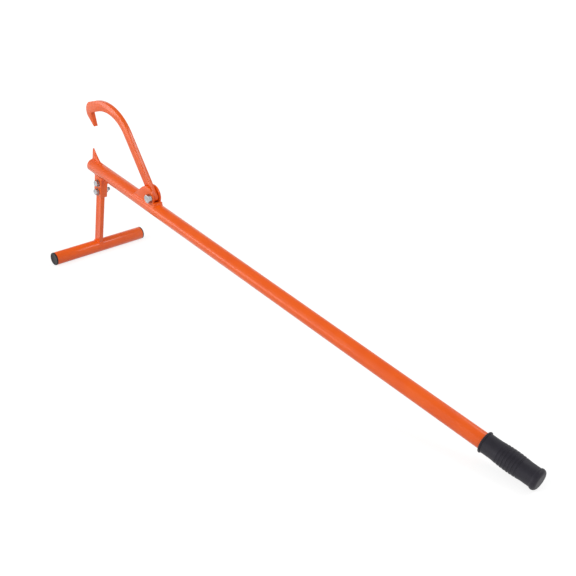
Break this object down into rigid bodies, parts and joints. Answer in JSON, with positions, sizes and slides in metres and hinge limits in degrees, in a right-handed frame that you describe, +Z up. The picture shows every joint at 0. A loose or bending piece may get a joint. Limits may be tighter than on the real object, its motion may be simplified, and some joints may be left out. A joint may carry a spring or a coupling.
{
  "type": "log lifter",
  "caption": "Log lifter: long orange steel bar with a rubber grip, a swinging cant hook over a fixed spike, and a bolted T stand.",
  "frame": {"origin": "centre of the bounding box's bottom face, on the ground that the tool stands on", "axes": "+X runs from the spike and hook end to the grip, level with the ground; +Z is up out of the ground; +Y makes it right-handed, and Y = 0 is the bar's middle plane"},
  "size_m": [1.218, 0.246, 0.3772],
  "materials": {
    "orange_paint": "satin powder coat",
    "zinc": "bright zinc plate",
    "grip_rubber": "matte",
    "cap_plastic": "matte"
  },
  "bodies": {
    "frame": {"handle_bar": "orange_paint", "bar_end_disc": "orange_paint", "rubber_grip": "grip_rubber", "log_spike": "orange_paint", "spike_weld": "orange_paint", "hook_clevis": "orange_paint", "clevis_weld": "orange_paint", "hook_bolt": "zinc", "hook_bolt_washer": "zinc", "stand_bracket": "orange_paint", "bracket_weld": "orange_paint", "stand_stem": "orange_paint", "stand_weld": "orange_paint", "foot_tube": "orange_paint", "foot_cap_left": "cap_plastic", "foot_cap_right": "cap_plastic", "upper_stand_bolt": "zinc", "lower_stand_bolt": "zinc", "upper_stand_nut": "zinc", "lower_stand_nut": "zinc", "stand_bolt_washers": "zinc", "stand_nut_washers": "zinc"},
    "hook": {"cant_hook": "orange_paint"}
  },
  "joints": [
    {"name": "hook_swing", "type": "hinge", "parent": "frame", "child": "hook", "pos_m": [-0.36419, 0, 0.20486], "axis": [0, 1, 0], "range_deg": [-24, 124]}
  ]
}
